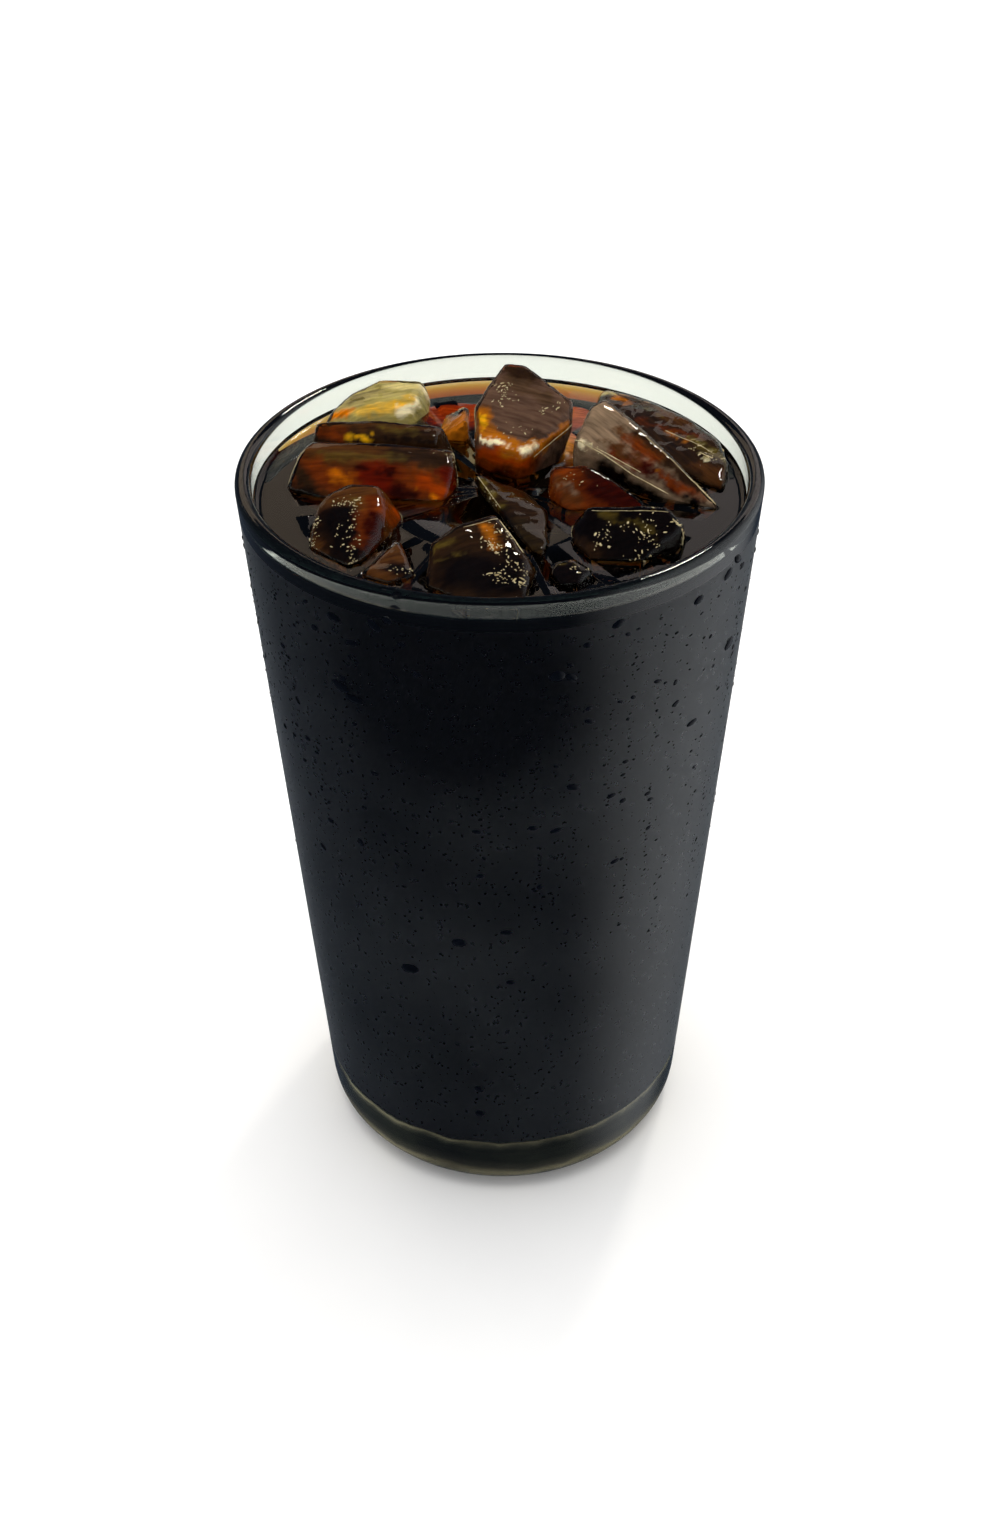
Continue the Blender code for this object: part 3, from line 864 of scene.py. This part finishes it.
def painted_glint_finish():
    """A painted highlight: a bead coloured pale cream in patches of dark gold, so that it shows as a bright
    point.
    """
    material, tree, output = finish_named("wet_ice_bead")
    tone = mottled(tree, 0.8 * MM, 1.0, "6A5420", "ECDCAE")
    shader = add_node(
        tree, "ShaderNodeBsdfPrincipled", {"Base Color": tone, "Roughness": 0.08, "IOR": 1.45}
    )
    tree.links.new(shader.outputs[0], output.inputs["Surface"])
    return material


def joined_copies(name, one, frames):
    """One mesh of many copies of a small one. A frame is three axes and a seat, all in metres."""
    corners = np.array([vertex.co for vertex in one.data.vertices])
    faces = [list(face.vertices) for face in one.data.polygons]
    points, shells = [], []
    for axes, seat in frames:
        shells += [[index + len(points) * len(corners) for index in face] for face in faces]
        points.append(corners @ np.array(axes) + np.array(seat))
    one.data.clear_geometry()
    one.data.from_pydata(np.concatenate(points).tolist(), [], shells)
    one.data.shade_smooth()
    one.name = name
    one.data.name = name
    return one


chance = random.Random(11)
bead_frames = []
for ice_name, patches in GLINTS.items():
    host = bpy.data.objects[ice_name.replace("ice_", "melting_")]
    for start, end, reach, count in patches:
        start, end = Vector(start), Vector(end)
        if reach < LINE_REACH:
            step = (end - start).length / count * MM
            for index in range(count):
                place = start.lerp(end, (index + 0.5) / count) * MM + Vector((0.0, 0.0, LEVEL))
                _found, seat, normal, _face = host.closest_point_on_mesh(place)
                along = (end - start).normalized()
                across = normal.cross(along).normalized()
                width = reach * MM * chance.uniform(0.5, 1.1)
                axes = (along * step * chance.uniform(0.6, 1.1), across * width, normal * width)
                bead_frames.append((axes, seat))
            continue
        for _ in range(2 * count):
            place = start.lerp(end, chance.random())
            place += Vector((chance.gauss(0, 1), chance.gauss(0, 1), chance.gauss(0, 1))) * 0.6 * reach
            place = place * MM + Vector((0.0, 0.0, LEVEL))
            _found, seat, normal, _face = host.closest_point_on_mesh(place)
            size = BEAD_RADIUS * math.exp(abs(chance.gauss(0.0, 0.55)))
            spin = Euler((0, 0, chance.uniform(0, 6.3))).to_matrix()
            turn = normal.to_track_quat("Z", "Y").to_matrix() @ spin
            stretch = chance.uniform(1.0, 3.2)
            axes = (turn.col[0] * size * stretch, turn.col[1] * size, turn.col[2] * size * 0.6)
            bead_frames.append((axes, seat))
bpy.ops.mesh.primitive_uv_sphere_add(segments=7, ring_count=5, radius=1.0, location=(0, 0, 0))
beads = joined_copies("painted_glints", bpy.context.object, bead_frames)
beads.data.materials.append(painted_glint_finish())
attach(beads, DRINK_BODY)


# The coffee: black filter coffee up to 5 mm under the rim, drawn up a little where it wets the glass.
# It reaches just into the wall and just into the ice, so that no air shows between them.
MENISCUS_HEIGHT = 0.9 * MM
MENISCUS_LENGTH = 0.45 * MM
MENISCUS_WIDTH = 6.0 * MM
MENISCUS_STEPS = 12
REACH_INTO_WALL = 0.15 * MM
COFFEE_OVERLAP = 0.65 * MM
LIT_DEPTH = 6.0 * MM


def black_coffee():
    """Filter coffee: clear, but 1 mm of it is amber, 5 mm is red-brown and 20 mm lets nothing by."""
    material, tree, output = finish_named("black_filter_coffee")
    shader = add_node(
        tree,
        "ShaderNodeBsdfPrincipled",
        {"Base Color": linear("FFF4E0"), "Roughness": 0.0, "IOR": 1.34, "Transmission Weight": 1.0},
    )
    body = add_node(
        tree, "ShaderNodeVolumeAbsorption", {"Color": (0.91, 0.72, 0.02, 1.0), "Density": 1000.0}
    )
    tree.links.new(shader.outputs[0], output.inputs["Surface"])
    tree.links.new(body.outputs[0], output.inputs["Volume"])
    return material


def deep_coffee():
    """The same coffee where it lies against the glass: so deep that no light comes back out of it."""
    material, tree, output = finish_named("deep_black_coffee")
    tone = mottled(tree, 20 * MM, 2.0, "04060C", "100E10")
    shader = add_node(
        tree, "ShaderNodeBsdfPrincipled", {"Base Color": tone, "Roughness": 0.6, "Specular IOR Level": 0.0}
    )
    tree.links.new(shader.outputs[0], output.inputs["Surface"])
    return material


coffee_inset = WALL - REACH_INTO_WALL
coffee_floor = BASE_THICKNESS - REACH_INTO_WALL
wall_radius = cone_radius(coffee_inset, LEVEL)
coffee_profile = [(POLE_RADIUS, coffee_floor)]
coffee_profile += reversed(floor_corner(coffee_inset, coffee_floor, INNER_CORNER_RADIUS))
coffee_profile.append((cone_radius(coffee_inset, 0.5 * HEIGHT), 0.5 * HEIGHT))
coffee_profile.append((cone_radius(coffee_inset, LEVEL - LIT_DEPTH), LEVEL - LIT_DEPTH))
for step in range(MENISCUS_STEPS + 1):
    from_wall = MENISCUS_WIDTH * (step / MENISCUS_STEPS) ** 2
    rise = MENISCUS_HEIGHT * math.exp(-from_wall / MENISCUS_LENGTH)
    coffee_profile.append((wall_radius - from_wall, LEVEL + rise))
coffee_profile.append((0.5 * wall_radius, LEVEL))
coffee_profile.append((POLE_RADIUS, LEVEL))
coffee = turned("black_coffee", coffee_profile)
coffee.data.materials.append(black_coffee())
coffee.data.materials.append(deep_coffee())
for face in coffee.data.polygons:
    from_axis = math.hypot(face.center.x, face.center.y)
    against_glass = from_axis > 0.97 * cone_radius(coffee_inset, face.center.z)
    if face.center.z < LEVEL - LIT_DEPTH or (against_glass and face.center.z < LEVEL):
        face.material_index = 1
ice_cutters = bpy.data.collections.new("ice_cutters")
bpy.context.scene.collection.children.link(ice_cutters)
for ice_name in ICE_NAMES:
    cutter = copy_of_node(ice_name, f"{ice_name}_cutter")
    apply_modifier(cutter, "DISPLACE", strength=-COFFEE_OVERLAP, mid_level=0.0)
    cutter.data.materials.clear()
    bpy.context.scene.collection.objects.unlink(cutter)
    ice_cutters.objects.link(cutter)
apply_modifier(
    coffee, "BOOLEAN", operation="DIFFERENCE", operand_type="COLLECTION", collection=ice_cutters
)
for cutter in list(ice_cutters.objects):
    bpy.data.objects.remove(cutter)
bpy.data.collections.remove(ice_cutters)
coffee.data.shade_smooth()
coffee.data.set_sharp_from_angle(angle=math.radians(40))
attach(coffee, DRINK_BODY)
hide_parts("coffee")


# Under the surface, painted glow: a pale cream strip that gives off a little light stands just inside the
# coffee for the light that comes through the back wall, and the sunk ice is painted pale, so that the thin
# coffee over them glows. The strip is dark on its outward side and narrows to its ends.
# Each piece of sunk ice has its middle, in mm from the axis and above the coffee, and its half sizes.
STRIP_TURNS = (math.radians(18), math.radians(160))
STRIP_DEPTH = 5.0 * MM
STRIP_INSET = WALL + 0.15 * MM
STRIP_TOP = 0.3 * MM
STRIP_THICKNESS = 0.12 * MM
STRIP_CUTS = 40
SUNK_ICE = (
    ("sunk_ice_back", (-6.0, 31.0, -6.2), (8.0, 5.0, 2.6)),
    ("sunk_ice_middle", (10.5, 17.0, -3.4), (3.2, 6.0, 2.4)),
    ("sunk_ice_back_right", (12.0, 29.0, -5.2), (5.0, 4.5, 2.4)),
    ("sunk_ice_left", (-31.0, 15.0, -6.0), (3.0, 5.0, 2.4)),
)


def painted_glow_wall_finish():
    """A painted glow for the light through the fogged back wall, as the coffee inside sees it: an even pale
    cream that gives off a little light.
    """
    material, tree, output = finish_named("painted_glow_fogged_glass")
    tone = mottled(tree, 4 * MM, 2.0, "EADFC0", "FFF8E6")
    # Painted glow: the strip's emission lights it though it is no lamp.
    shader = add_node(
        tree,
        "ShaderNodeBsdfPrincipled",
        {
            "Base Color": tone,
            "Roughness": 0.8,
            "Emission Color": linear("FFE9A0"),
            "Emission Strength": 0.3,
        },
    )
    tree.links.new(shader.outputs[0], output.inputs["Surface"])
    return material


bpy.ops.mesh.primitive_plane_add(size=1.0, location=(0, 0, 0))
strip = bpy.context.object
strip.name = "painted_glow_back_wall"
strip.data.name = "painted_glow_back_wall"
bpy.ops.object.mode_set(mode="EDIT")
bpy.ops.mesh.select_all(action="SELECT")
bpy.ops.mesh.subdivide(number_cuts=STRIP_CUTS)
bpy.ops.object.mode_set(mode="OBJECT")
for vertex in strip.data.vertices:
    turn = STRIP_TURNS[0] + (vertex.co.x + 0.5) * (STRIP_TURNS[1] - STRIP_TURNS[0])
    from_end = min(vertex.co.x + 0.5, 0.5 - vertex.co.x)
    depth = STRIP_DEPTH * min(1.0, 0.1 + 5.0 * from_end)
    height = LEVEL + STRIP_TOP - (0.5 - vertex.co.y) * depth
    radius = cone_radius(STRIP_INSET, height)
    vertex.co = (radius * math.cos(turn), radius * math.sin(turn), height)
apply_modifier(strip, "SOLIDIFY", thickness=STRIP_THICKNESS, offset=0.0)
strip.data.shade_smooth()
strip.data.materials.append(painted_glow_wall_finish())
strip.data.materials.append(deep_coffee())
for face in strip.data.polygons:
    if face.normal.x * face.center.x + face.normal.y * face.center.y > 0:
        face.material_index = 1
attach(strip, DRINK_BODY)

for sunk_name, middle, half_size in SUNK_ICE:
    bpy.ops.mesh.primitive_ico_sphere_add(subdivisions=4, radius=MM, location=(0, 0, 0))
    sunk = bpy.context.object
    sunk.name = sunk_name
    sunk.data.name = sunk_name
    bpy.ops.object.mode_set(mode="EDIT")
    bpy.ops.mesh.select_all(action="SELECT")
    bpy.ops.transform.resize(value=half_size, center_override=(0, 0, 0))
    bpy.ops.transform.translate(value=(middle[0] * MM, middle[1] * MM, middle[2] * MM + LEVEL))
    bpy.ops.object.mode_set(mode="OBJECT")
    apply_modifier(sunk, "DISPLACE", texture=melt_hollows, strength=1.6 * MM, mid_level=0.5)
    apply_modifier(sunk, "DISPLACE", texture=melt_ripples, strength=0.3 * MM, mid_level=0.5)
    sunk.data.shade_smooth()
    # Painted glow: each sunk piece is pale khaki all over, so that the thin coffee over it glows.
    paint_stain_and_light(sunk.data, [("khaki", middle, middle, 9.0, 1.0)], 0.0)
    sunk.data.materials.append(heart_finish)
    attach(sunk, DRINK_BODY)


# The dew: water from the air has gathered in drops on the cold glass and swept the fog from under them.
# They are thick on the upper half and the right, and hang in dotted tracks where bigger ones ran down.
DROP_COUNT = 1300
DROP_FLATNESS = 0.45
# Each track: its turn about the axis in degrees, and the heights between which it runs in mm.
TRACKS = (
    (-146, 92, 130), (-144, 96, 131), (-137, 88, 103), (-136, 70, 84), (-125, 104, 128), (-124, 78, 96),
    (-115, 102, 112), (-95, 80, 101), (-93, 84, 98), (-90, 95, 108), (-86, 97, 105), (-82, 96, 107),
    (-82, 78, 87), (-77, 105, 113), (-73, 84, 92), (-66, 91, 117), (-61, 90, 128), (-59, 66, 84),
    (-54, 103, 130), (-53, 74, 96), (-48, 94, 110), (-47, 56, 78), (-40, 112, 127), (-37, 78, 101),
    (-30, 60, 90), (-24, 95, 120), (40, 80, 125), (75, 90, 120), (110, 85, 125), (150, 90, 128),
    (175, 80, 110), (200, 100, 128),
)
# Each big drop: its turn in degrees, and its height and its half width in mm.
BIG_DROPS = (
    (-126.5, 115.8, 1.3), (-123.0, 114.3, 1.1), (-125.5, 117.4, 0.7), (-30.5, 130.6, 1.2),
    (-34.5, 129.4, 0.9), (-45.0, 128.5, 1.0), (-28.0, 114.0, 1.1), (-41.5, 104.0, 0.9),
    (-74.0, 100.5, 0.9), (-71.0, 113.0, 0.6), (-77.5, 92.0, 0.8), (-83.0, 93.0, 0.6),
    (-101.0, 67.0, 1.1), (-89.0, 70.0, 0.7), (-62.0, 82.0, 0.7), (-81.0, 80.0, 0.6),
    (-136.0, 85.0, 0.6), (-126.0, 84.0, 0.6), (-116.0, 129.5, 1.0), (-113.0, 131.0, 0.8),
    (-126.0, 128.6, 0.9), (-122.0, 125.0, 0.8), (-132.0, 125.0, 0.8), (-78.5, 122.5, 1.1),
    (-75.5, 122.0, 0.8), (-66.0, 130.0, 0.9), (-115.0, 58.0, 1.4), (-88.0, 58.0, 0.8),
    (-97.0, 29.7, 1.0), (-97.0, 22.8, 0.9), (60.0, 100.0, 1.2), (130.0, 110.0, 1.1),
    (165.0, 75.0, 1.0),
)


def clear_water():
    """Clear water on the wall: the black coffee shows through it, with a small bright glint on top."""
    material, tree, output = finish_named("clear_water_drop")
    tone = mottled(tree, 2 * MM, 1.0, "020305", "0A0D14")
    shader = add_node(
        tree,
        "ShaderNodeBsdfPrincipled",
        {"Base Color": tone, "Roughness": 0.05, "IOR": 1.33, "Specular IOR Level": 0.2},
    )
    tree.links.new(shader.outputs[0], output.inputs["Surface"])
    return material


chance = random.Random(7)
drop_places = [(math.radians(turn), z * MM, size * MM) for turn, z, size in BIG_DROPS]
for turn, low, high in TRACKS:
    height = high
    while height > low:
        wobble = chance.gauss(0.0, 0.7)
        size = 0.13 * math.exp(abs(chance.gauss(0.0, 0.55)))
        drop_places.append((math.radians(turn + wobble), height * MM, min(size, 0.5) * MM))
        height -= chance.uniform(0.5, 2.2)
while len(drop_places) < DROP_COUNT:
    turn = chance.uniform(-math.pi, math.pi)
    height = HEIGHT * (0.1 + 0.85 * chance.random() ** 0.4)
    size = 0.11 * MM * math.exp(abs(chance.gauss(0.0, 0.7))) * (0.6 + 0.8 * height / HEIGHT)
    crowd = (0.15 + 0.85 * min(1.0, height / (0.85 * HEIGHT)) ** 2) * (0.3 + 0.7 * math.cos(turn) ** 2)
    if chance.random() < crowd:
        drop_places.append((turn, height, min(size, 0.6 * MM)))

drop_frames = []
for turn, height, size in drop_places:
    outward = Vector((
        math.cos(turn) * math.cos(WALL_TILT), math.sin(turn) * math.cos(WALL_TILT), -math.sin(WALL_TILT)
    ))
    sideways = Vector((-math.sin(turn), math.cos(turn), 0.0))
    upward = outward.cross(sideways)
    lean = chance.gauss(0.0, 0.35)
    tall = chance.uniform(0.6, 1.0)
    wide = chance.uniform(1.0, 1.7)
    across = sideways * math.cos(lean) + upward * math.sin(lean)
    along = upward * math.cos(lean) - sideways * math.sin(lean)
    radius = cone_radius(0.12 * size, height)
    seat = Vector((radius * math.cos(turn), radius * math.sin(turn), height))
    axes = (across * size * wide, along * size * tall, outward * size * DROP_FLATNESS)
    drop_frames.append((axes, seat))
bpy.ops.mesh.primitive_uv_sphere_add(segments=9, ring_count=6, radius=1.0, location=(0, 0, 0))
drops = joined_copies("dew_drops", bpy.context.object, drop_frames)
drops.data.materials.append(clear_water())
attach(drops, DRINK_BODY)


# The floor and the light: a pale studio table, with a large soft light overhead, two warm windows behind
# that the coffee mirrors, and one small lamp for the glints.
FLOOR_SIZE = 6.0


def pale_floor():
    """Matt white studio card."""
    material, tree, output = finish_named("matt_white_card")
    tone = mottled(tree, 20 * MM, 2.0, "F4F4F4", "F8F8F8")
    shader = add_node(tree, "ShaderNodeBsdfPrincipled", {"Base Color": tone, "Roughness": 0.9})
    tree.links.new(shader.outputs[0], output.inputs["Surface"])
    return material


bpy.ops.mesh.primitive_plane_add(size=FLOOR_SIZE, location=(0, 0, 0))
table = bpy.context.object
table.name = "studio_floor"
table.data.materials.append(pale_floor())
table.visible_glossy = False


def softbox(name, place, aim, size, power, colour):
    """A soft rectangular light at a place, aimed at a point."""
    bpy.ops.object.light_add(type="AREA", location=place)
    light = bpy.context.object
    light.name = name
    light.data.shape = "RECTANGLE"
    light.data.size = size[0]
    light.data.size_y = size[1]
    light.data.energy = power
    light.data.color = colour
    light.rotation_euler = (Vector(aim) - Vector(place)).to_track_quat("-Z", "Y").to_euler()
    return light


overhead = softbox("overhead_softbox", (0.0, 0.2, 1.6), (0, 0, 0.1), (1.6, 1.6), 20.0, (1.0, 0.99, 0.97))
overhead.visible_glossy = False
softbox("left_window", (-0.60, 1.3, 0.80), (0, 0, 0.1), (1.05, 0.44), 0.93, (1.0, 0.78, 0.56))
softbox("right_window", (0.57, 1.3, 0.80), (0, 0, 0.1), (1.05, 0.44), 1.04, (1.0, 0.86, 0.78))
softbox("small_lamp", (0.35, 0.75, 1.0), (0, 0, 0.1), (0.12, 0.2), 3.0, (1.0, 0.95, 0.85))

# The room: a white dome lights the object, and what its gloss mirrors is dim at the left and pale at the
# right.
world = bpy.data.worlds.new("studio_room")
bpy.context.scene.world = world
world.use_nodes = True
room = world.node_tree
backdrop = room.nodes["Background"]
direction = add_node(room, "ShaderNodeTexCoord").outputs["Generated"]
sides = add_node(room, "ShaderNodeSeparateXYZ", {"Vector": direction})
to_right = add_node(
    room,
    "ShaderNodeMapRange",
    {"Value": sides.outputs["X"], "From Min": 0.38, "From Max": 0.95, "To Min": 0.0, "To Max": 1.0},
    interpolation_type="SMOOTHSTEP",
)
lower = add_node(
    room,
    "ShaderNodeMapRange",
    {"Value": sides.outputs["Z"], "From Min": -0.75, "From Max": -0.5, "To Min": 1.1, "To Max": 0.65},
)
pale = add_node(
    room,
    "ShaderNodeMath",
    {0: to_right.outputs["Result"], 1: lower.outputs["Result"]},
    operation="MULTIPLY",
)
mirrored = add_node(
    room,
    "ShaderNodeMix",
    {"Factor": pale.outputs[0], "A": (0.040, 0.052, 0.075, 1.0), "B": (1.3, 1.34, 1.38, 1.0)},
    data_type="RGBA",
    clamp_factor=False,
)
ray = add_node(room, "ShaderNodeLightPath")
not_through = add_node(
    room, "ShaderNodeMath", {0: 1.0, 1: ray.outputs["Is Transmission Ray"]}, operation="SUBTRACT"
)
is_mirror = add_node(
    room,
    "ShaderNodeMath",
    {0: ray.outputs["Is Glossy Ray"], 1: not_through.outputs[0]},
    operation="MULTIPLY",
)
tone = add_node(
    room,
    "ShaderNodeMix",
    {"Factor": is_mirror.outputs[0], "A": (0.8, 0.8, 0.8, 1.0), "B": mirrored.outputs["Result"]},
    data_type="RGBA",
)
room.links.new(tone.outputs["Result"], backdrop.inputs["Color"])
backdrop.inputs["Strength"].default_value = 1.0
